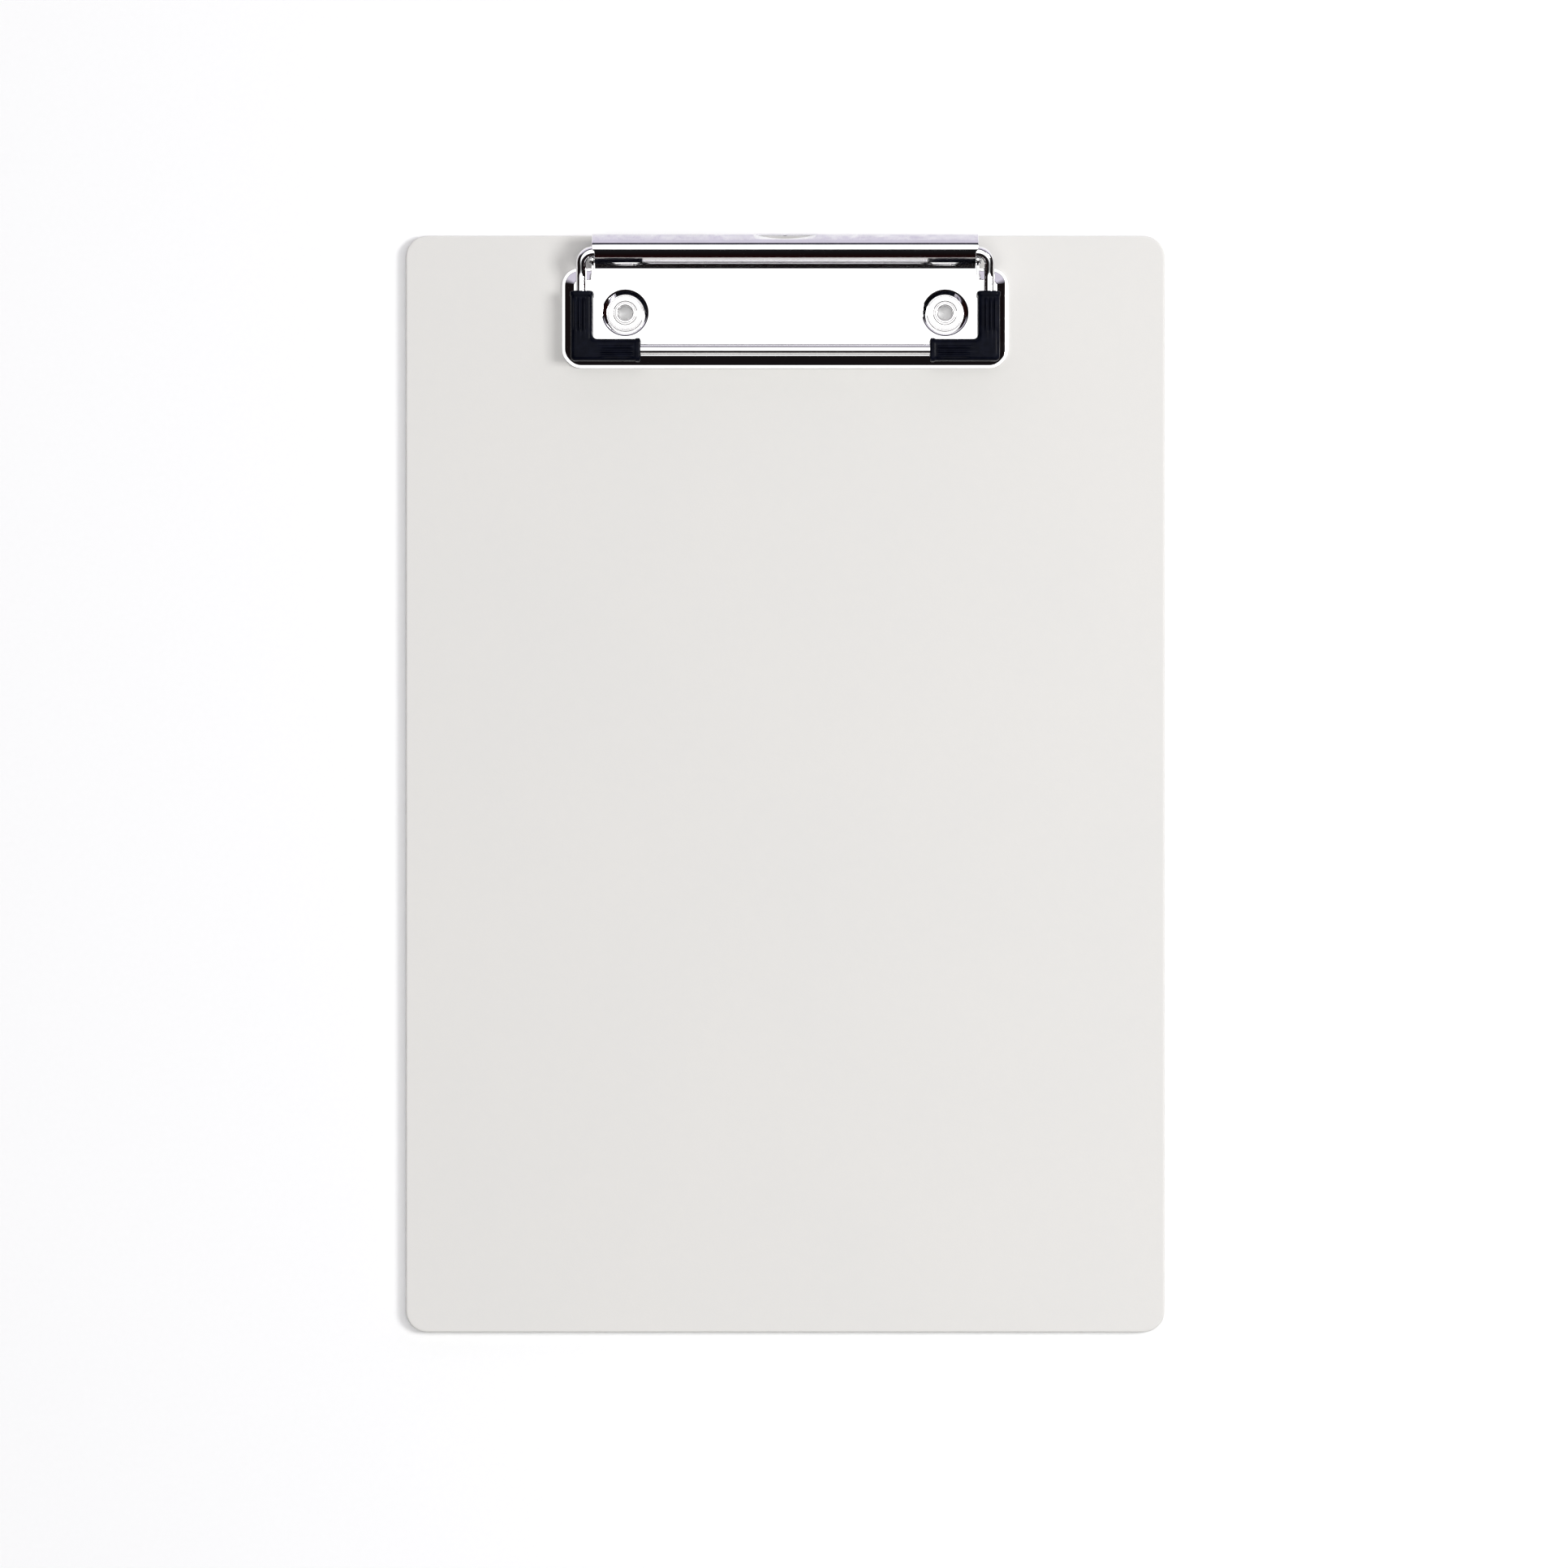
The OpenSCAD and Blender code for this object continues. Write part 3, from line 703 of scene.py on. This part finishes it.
def build_pin():
    """A rod with a head outside each of the plate's ears."""
    shaft_half = TONGUE_HALF + 0.05
    tip = PIN_HIGH.x
    head_r, head_rim = 1.45, 0.35
    face_r, centre_r = 0.9, 0.02
    half = rounded_path([(PIN_R, 0), (PIN_R, shaft_half), (head_r, shaft_half),
                         (head_r, shaft_half + head_rim), (face_r, tip), (0.0, tip)],
                        [0.03, 0.08, 0.2, 0.25], 4)[:-1] + [Vector((centre_r, tip))]
    profile = [(r, -x) for r, x in reversed(half)] + [(r, x) for r, x in half[1:]]
    bm = bmesh.new()
    rings = lathe(bm, profile, lambda a, b, x: (x, PIN_Y + a, PIN_Z + b), steps=48,
                  closed_profile=False)
    bm.faces.new(rings[0])
    bm.faces.new(rings[-1])
    bmesh.ops.recalc_face_normals(bm, faces=bm.faces)
    add_piece("hinge_pin_rod", bm, PIN_STEEL, ROOT, ["hinge_pin"])


# ---------------------------------------------------------------- press lever

def arc(centre, radius, start, end, steps):
    """Points on an arc in the YZ plane, between two slopes in radians."""
    return [centre + radius * facing(start + (end - start) * i / steps) for i in range(steps + 1)]


def lever_face(inset):
    """The sheet's face from the wall's foot over the crest to the flap's start."""
    foot_slope = math.acos((FOOT_Z - WALL_C.y) / (WALL_R - inset))
    wall = arc(WALL_C, WALL_R - inset, foot_slope, FACE_SLOPE, 12)
    shoulder = arc(SHOULDER_C, SHOULDER_R - inset, FACE_SLOPE, CREST_TURN, 12)
    crest = arc(CREST_C, CREST_R - inset, CREST_TURN, -CREST_TURN, 10)
    rear = arc(REAR_C, REAR_R - inset, -CREST_TURN, -FLAP_SLOPE, 10)
    band = [wall[-1].lerp(shoulder[0], k / 3) for k in (1, 2)]
    return wall + band + shoulder + crest[1:] + rear[1:]


def lever_columns(half, slot_columns=24, side_columns=10):
    """X of each column of the lever's mesh. The columns are closer together along the slot."""
    slot = [-SLOT_HALF + 2 * SLOT_HALF * i / slot_columns for i in range(slot_columns + 1)]
    side = [SLOT_HALF + (half - SLOT_HALF) * i / side_columns for i in range(1, side_columns + 1)]
    return [-x for x in reversed(side)] + slot + side


def lever_row(bm, point, half):
    """One row of the lever's mesh, at a point of its section."""
    return [bm.verts.new((x, point.x, point.y)) for x in lever_columns(half)]


def lever_half_width(y):
    """Half the width of the sheet, which widens between the wall and the crest."""
    return WALL_HALF + (LEVER_HALF - WALL_HALF) * smooth_step(y, CREST.x - 1.7, CREST.x - 0.7)


def slot_rise_at(x):
    """How far the slot's curved edge stands from its straight edge."""
    tip = SLOT_HALF - 1e-6
    return math.sqrt(SLOT_R ** 2 - x * x) - (SLOT_R - SLOT_RISE) if abs(x) < tip else 0


def build_lever_sheet():
    """The rolled sheet: front wall, crest and flap, with the hanging slot."""
    face = lever_face(0)
    start = face[-1]
    bm = bmesh.new()
    rows = [lever_row(bm, p, lever_half_width(p.x)) for p in face]
    above_slot = start + FLAP_RUN * (FLAP_L - SLOT_RIM - SLOT_RISE) * 0.5
    rows.append(lever_row(bm, above_slot, LEVER_HALF))
    upper, lower = [], []
    low = start + FLAP_RUN * (FLAP_L - SLOT_RIM)
    for x in lever_columns(LEVER_HALF):
        rise = slot_rise_at(x)
        high = start + FLAP_RUN * (FLAP_L - SLOT_RIM - rise)
        lower.append(bm.verts.new((x, low.x, low.y)))
        upper.append(lower[-1] if rise <= 0 else bm.verts.new((x, high.x, high.y)))
    edge = lever_row(bm, start + FLAP_RUN * FLAP_L, LEVER_HALF)
    rows.append(upper)
    bridge_rows(bm, rows, closed=False)
    bridge(bm, lower, edge, closed=False)
    face_upwards(bm)
    lever = add_piece("press_lever_sheet", bm, LEVER_CHROME, CLAMP, ["press_lever"])
    thicken(lever, LEVER_T)
    soften(lever, width=0.14, segments=3, angle=50)


def build_lever_cheeks():
    """The lever's ends, each with a round eye that turns on the pin."""
    cheek_t = 0.7
    eye_r = 1.5
    flap_part = 0.8                   # how far a cheek runs down the flap
    middle = lever_face(LEVER_T / 2)
    outline = middle + [middle[-1] + FLAP_RUN * flap_part]
    outline += arc_points((PIN_Y, PIN_Z), eye_r, 15, -105, 8)
    for side, word in SIDES:
        low, high = sorted((side * (WALL_HALF - cheek_t), side * WALL_HALF))
        prism("lever_cheek_" + word, outline, low, high, LEVER_CHROME, CLAMP,
              edge=0.1)


def build_lever_tabs():
    """Short bands under the crest that wrap the wire in the bead."""
    wrap_from, wrap_to = math.radians(10), math.radians(175)
    wire_gap = 0.06
    half = 4
    steps = 20
    band = arc(BEAD_C, WIRE_R + LEVER_T, wrap_from, wrap_to, steps)
    band += arc(BEAD_C, WIRE_R + wire_gap, wrap_to, wrap_from, steps)
    for i, x in enumerate((-42, -8, 8, 42)):
        prism(f"lever_tab_{i + 1}", band, x - half, x + half, LEVER_CHROME, CLAMP,
              edge=0.08)


# ---------------------------------------------------------------- wire frame

def wire_path():
    """Centre line of the wire, from one end round the front to the other."""
    bead_steps, bend_steps, climb_steps, front_steps = 12, 14, 8, 16
    up = Vector((0, math.cos(CLIMB), math.sin(CLIMB)))
    bead = Vector((LEG_X - REAR_BEND_R, BEAD_C.x, BEAD_C.y))
    bend_c = bead - up * REAR_BEND_R
    climb_rise = CLIMB_R * (1 - math.cos(CLIMB))
    climb_l = (bend_c.z - WIRE_Z - climb_rise) / math.sin(CLIMB)
    climb_y = bend_c.y - CLIMB_R * math.sin(CLIMB) - climb_l * math.cos(CLIMB)
    half = []
    for i in range(bead_steps + 1):
        x = BUTT_GAP / 2 + (bead.x - BUTT_GAP / 2) * i / bead_steps
        half.append(Vector((x, bead.y, bead.z)))
    for i in range(1, bend_steps + 1):
        a = math.radians(90 - 90 * i / bend_steps)
        half.append(bend_c + REAR_BEND_R * (math.cos(a) * Vector((1, 0, 0)) + math.sin(a) * up))
    leg = Vector((LEG_X, bend_c.y, bend_c.z))
    half += [leg - up * climb_l * k / 3 for k in (1, 2, 3)]
    for i in range(1, climb_steps + 1):
        a = CLIMB * (1 - i / climb_steps)
        y, z = climb_y + CLIMB_R * math.sin(a), WIRE_Z + CLIMB_R * (1 - math.cos(a))
        half.append(Vector((LEG_X, y, z)))
    corner = Vector((LEG_X - FRONT_BEND_R, FRONT_Y + FRONT_BEND_R, WIRE_Z))
    for k in (1, 2, 3):
        half.append(Vector((LEG_X, climb_y + (corner.y - climb_y) * k / 3, WIRE_Z)))
    for i in range(1, bend_steps + 1):
        a = math.radians(-90 * i / bend_steps)
        half.append(corner + FRONT_BEND_R * Vector((math.cos(a), math.sin(a), 0)))
    for k in range(1, front_steps + 1):
        half.append(Vector((corner.x * (1 - k / front_steps), FRONT_Y, WIRE_Z)))
    mirrored = [Vector((-p.x, p.y, p.z)) for p in reversed(half[:-1])]
    return half + mirrored


def build_wire():
    bm = bmesh.new()
    tube(bm, wire_path(), WIRE_R, sides=40)
    wire = add_piece("wire_frame_rod", bm, WIRE_CHROME, CLAMP, ["wire_frame"])
    soften(wire, width=0.2, segments=3, angle=50)


# ---------------------------------------------------------------- rubber corners

SLEEVE_W = 6.3
SLEEVE_L = 20.0
SLEEVE_BOTTOM = PLATE_Z + 0.12
SLEEVE_TOP = WIRE_Z + 2.25
SLEEVE_OUT = LEG_X + SLEEVE_W / 2 - 0.15
SLEEVE_FRONT = FRONT_Y - SLEEVE_W / 2 - 0.25
ARM_L = SLEEVE_L - SLEEVE_W / 2       # from the corner's middle to an arm's end
COLLAR_L = 1.5


def ribbed(crown, ribs):
    """Raises three round ribs on the points of the sleeve's top, or none where ribs is 0."""
    places = (-0.75, 0.55, 1.85)
    rib_half, rib_h, sink = 0.46, 0.5, 0.12
    points = []
    for u, z in crown:
        lift = 0.0
        for place in places:
            gap = abs(u - place) / rib_half
            if gap < 1:
                lift = max(lift, rib_h * math.sqrt(1 - gap * gap))
        points.append((u, z + lift * ribs - sink * ribs))
    return points


def sleeve_section(collar, ribs):
    """Cross-section of an arm as (outward, height) points; outward is towards the clip's outside."""
    half = SLEEVE_W / 2 + 0.22 * collar
    top = SLEEVE_TOP + 0.2 * collar
    top_r, base_r = 1.5, 0.7
    base_x, base_z = half - base_r, SLEEVE_BOTTOM + base_r
    crown_x, crown_z = half - top_r, top - top_r
    outline = arc_points((-base_x, base_z), base_r, 180, 270, 6)
    outline += [(-base_x + 2 * base_x * k / 6, SLEEVE_BOTTOM) for k in range(1, 6)]
    outline += arc_points((base_x, base_z), base_r, 270, 360, 6)
    side = [(half, base_z + (crown_z - base_z) * k / 4) for k in range(1, 4)]
    crown = arc_points((crown_x, crown_z), top_r, 0, 90, 12)
    crown += [(crown_x - 2 * crown_x * k / 40, top) for k in range(1, 40)]
    crown += arc_points((-crown_x, crown_z), top_r, 90, 180, 12)
    return outline + side + ribbed(crown, ribs) + [(-u, z) for u, z in reversed(side)]


def sleeve_depths():
    """Distances from an arm's end to its rows: close together at the collar, wider along the ribs."""
    collar = [0.0, 0.12, 0.3, 0.7, 1.1, 1.4, 1.6, 1.9, 2.4, 3.0]
    rest = ARM_L - collar[-1] - 5.0
    return collar + [collar[-1] + rest * k / 10 for k in range(1, 11)]


def collar_at(depth):
    """How far the collar stands out. The arm's end itself is drawn in, so that it looks round."""
    end_round = smooth_step(depth, -0.01, 0.3)
    stand = 1 - smooth_step(depth, COLLAR_L - 0.25, COLLAR_L + 0.1)
    return stand * end_round - 0.8 * (1 - end_round)


def ribs_at(depth):
    """How far the ribs stand out. They fade beside the collar and before the corner."""
    fade_in = smooth_step(depth, 2.1, 2.7)
    return fade_in * (1 - smooth_step(depth, ARM_L - 6.2, ARM_L - 5.2))


def build_sleeve(side, word):
    """An L-shaped sleeve. Every line of its skin is the same rounded L, moved along the diagonal."""
    corner_r, corner_steps = 1.3, 10
    mid_x, mid_y = SLEEVE_OUT - SLEEVE_W / 2, SLEEVE_FRONT + SLEEVE_W / 2
    bm = bmesh.new()
    rings = []

    def add_ring(collar, ribs, place):
        ring = []
        for u, z in sleeve_section(collar, ribs):
            x, y = place(u)
            ring.append(bm.verts.new((side * x, y, z)))
        rings.append(ring)

    for depth in sleeve_depths():
        y = mid_y + (ARM_L - depth)
        add_ring(collar_at(depth), ribs_at(depth), lambda u, y=y: (mid_x + u, y))
    for x, y in arc_points((-corner_r, -corner_r), corner_r, 0, 90, corner_steps):
        add_ring(0.0, 0.0, lambda u, x=x, y=y: (mid_x + u + x, mid_y - u - y))
    for depth in reversed(sleeve_depths()):
        x = mid_x - (ARM_L - depth)
        add_ring(collar_at(depth), ribs_at(depth), lambda u, x=x: (x, mid_y - u))
    bridge_rows(bm, rings, closed=True)
    bm.faces.new(rings[0])
    bm.faces.new(rings[-1])
    bmesh.ops.recalc_face_normals(bm, faces=bm.faces)
    sleeve = add_piece("rubber_corner_" + word + "_sleeve", bm, RUBBER, CLAMP,
                       ["rubber_corner_" + word])
    soften(sleeve, width=0.15, segments=2, angle=60)


# ---------------------------------------------------------------- torsion springs

SPRING_WIRE_R = 0.35
SPRING_TURNS = 7


def spring_path(side, coil_from, coil_to):
    """Centre line of a spring: a leg under the tongue, the coil on the pin, a leg under the wire."""
    coil_r = PIN_R + 0.08 + SPRING_WIRE_R
    fixed_leg_l = TONGUE_REAR - 0.4 - PIN_Y
    moving_leg_l = 5.2
    tilt = math.radians(3.5)          # of the moving leg, up towards the wire
    sweep = 2 * math.pi * SPRING_TURNS + math.pi - tilt
    steps = 28 * SPRING_TURNS
    path = []
    for k in range(6):
        y = PIN_Y + fixed_leg_l * (1 - k / 6)
        path.append(Vector((side * coil_from, y, PIN_Z - coil_r)))
    for i in range(steps + 1):
        a = -sweep * i / steps
        x = coil_from + (coil_to - coil_from) * i / steps
        path.append(Vector((side * x, PIN_Y + coil_r * math.sin(a), PIN_Z - coil_r * math.cos(a))))
    direction = Vector((0, math.cos(tilt), math.sin(tilt)))
    start = path[-1]
    return path + [start + direction * moving_leg_l * k / 6 for k in range(1, 7)]


def build_spring(side, word):
    """A torsion spring, a tube along its centre line, tied to neither body."""
    coil_from, coil_to = SPRING_LOW.x + SPRING_WIRE_R, SPRING_HIGH.x - SPRING_WIRE_R
    bm = bmesh.new()
    tube(bm, spring_path(side, coil_from, coil_to), SPRING_WIRE_R, sides=16)
    spring = add_piece("torsion_spring_" + word + "_coil", bm, SPRING_STEEL, None,
                       ["torsion_spring_" + word])
    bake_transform(spring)


build_board()
build_plate_sheet()
build_plate_ears()
for side, word in SIDES:
    build_rivet(side, word)
build_pin()
build_lever_sheet()
build_lever_cheeks()
build_lever_tabs()
build_wire()
for side, word in SIDES:
    build_sleeve(side, word)
    build_spring(side, word)


# ---------------------------------------------------------------- studio

def build_floor():
    """A small white floor just under the board. The dark room shows past it in the chrome."""
    half, drop = 550.0, 0.05
    bm = bmesh.new()
    corners = [bm.verts.new((x, y, -drop)) for x, y in
               ((-half, -half), (half, -half), (half, half), (-half, half))]
    bm.faces.new(corners)
    bmesh.ops.scale(bm, vec=(MM, MM, MM), verts=bm.verts)
    mesh = bpy.data.meshes.new("floor")
    bm.to_mesh(mesh)
    bm.free()
    floor = bpy.data.objects.new("floor", mesh)
    scene.collection.objects.link(floor)
    mesh.materials.append(FLOOR_PAPER)


def world_ramp(tree, value, stops):
    """Colours along a value, from (position, colour) stops."""
    node = tree.nodes.new("ShaderNodeValToRGB")
    ramp = node.color_ramp
    while len(ramp.elements) > 1:
        ramp.elements.remove(ramp.elements[-1])
    ramp.elements[0].position = stops[0][0]
    ramp.elements[0].color = (*stops[0][1], 1)
    for position, color in stops[1:]:
        element = ramp.elements.new(position)
        element.color = (*color, 1)
    tree.links.new(value, node.inputs["Fac"])
    return node.outputs["Color"]


WHITE = (1.0, 1.0, 1.0)
ROOM_TOP, CEILING = 0.76, 0.82        # Z of a ray's direction: 0 is level, 1 is straight up
DARK_ROOM = [(0.0, (0.010, 0.002, 0.002)), (0.30, (0.004, 0.002, 0.002)),
             (ROOM_TOP, (0.006, 0.006, 0.007)), (CEILING, WHITE), (1.0, WHITE)]
LILAC_WALL = [(0.0, (0.40, 0.375, 0.45)), (0.46, (0.42, 0.395, 0.46)), (0.52, (0.02, 0.02, 0.03)),
              (ROOM_TOP, (0.015, 0.015, 0.02)), (CEILING, WHITE), (1.0, WHITE)]


def room_colour(tree):
    """What the chrome reflects: a dark room, with a lilac wall behind the clip's end."""
    coords = tree.nodes.new("ShaderNodeTexCoord").outputs["Generated"]
    split = tree.nodes.new("ShaderNodeSeparateXYZ")
    tree.links.new(coords, split.inputs["Vector"])
    mix = tree.nodes.new("ShaderNodeMix")
    mix.data_type = "RGBA"
    tree.links.new(remap(tree, split.outputs["Y"], 0.25, 0.55, 0.0, 1.0), mix.inputs["Factor"])
    tree.links.new(world_ramp(tree, split.outputs["Z"], DARK_ROOM), mix.inputs["A"])
    tree.links.new(world_ramp(tree, split.outputs["Z"], LILAC_WALL), mix.inputs["B"])
    return mix.outputs["Result"]


def build_world():
    """The room lights the part. The camera itself sees plain white round the floor."""
    world = bpy.data.worlds.new("studio")
    scene.world = world
    world.use_nodes = True
    tree = world.node_tree
    backdrop = tree.nodes["Background"]
    backdrop.inputs["Color"].default_value = (*WHITE, 1)
    backdrop.inputs["Strength"].default_value = 1.0
    room = tree.nodes.new("ShaderNodeBackground")
    room.inputs["Strength"].default_value = 1.68
    tree.links.new(room_colour(tree), room.inputs["Color"])
    rays = tree.nodes.new("ShaderNodeLightPath")
    choose = tree.nodes.new("ShaderNodeMixShader")
    tree.links.new(rays.outputs["Is Camera Ray"], choose.inputs["Fac"])
    tree.links.new(room.outputs["Background"], choose.inputs[1])
    tree.links.new(backdrop.outputs["Background"], choose.inputs[2])
    tree.links.new(choose.outputs["Shader"], tree.nodes["World Output"].inputs["Surface"])


def area_light(name, place, target, size, power):
    """A square lamp that faces its target."""
    light = bpy.data.lights.new(name, "AREA")
    light.shape = "SQUARE"
    light.size = size
    light.energy = power
    obj = bpy.data.objects.new(name, light)
    scene.collection.objects.link(obj)
    obj.location = place
    obj.rotation_euler = (Vector(target) - Vector(place)).to_track_quat("-Z", "Y").to_euler()


def build_camera():
    """Looks straight down, with the clip at the top of the view."""
    view_w = 0.4503                   # width of the view at the board's face
    distance = 1.6
    sideways = -0.00035
    data = bpy.data.cameras.new("camera")
    data.sensor_width = 36.0
    data.lens = data.sensor_width * distance / view_w
    data.clip_start, data.clip_end = 0.05, 20.0
    camera = bpy.data.objects.new("camera", data)
    scene.collection.objects.link(camera)
    camera.location = (sideways, 0.0, BOARD_T * MM + distance)
    scene.camera = camera


build_floor()
build_world()
area_light("key", place=(1.35, 0.2, 1.45), target=(0, 0.05, 0), size=0.6, power=23.0)
build_camera()
scene.view_settings.view_transform = "Standard"
scene.view_settings.look = "None"
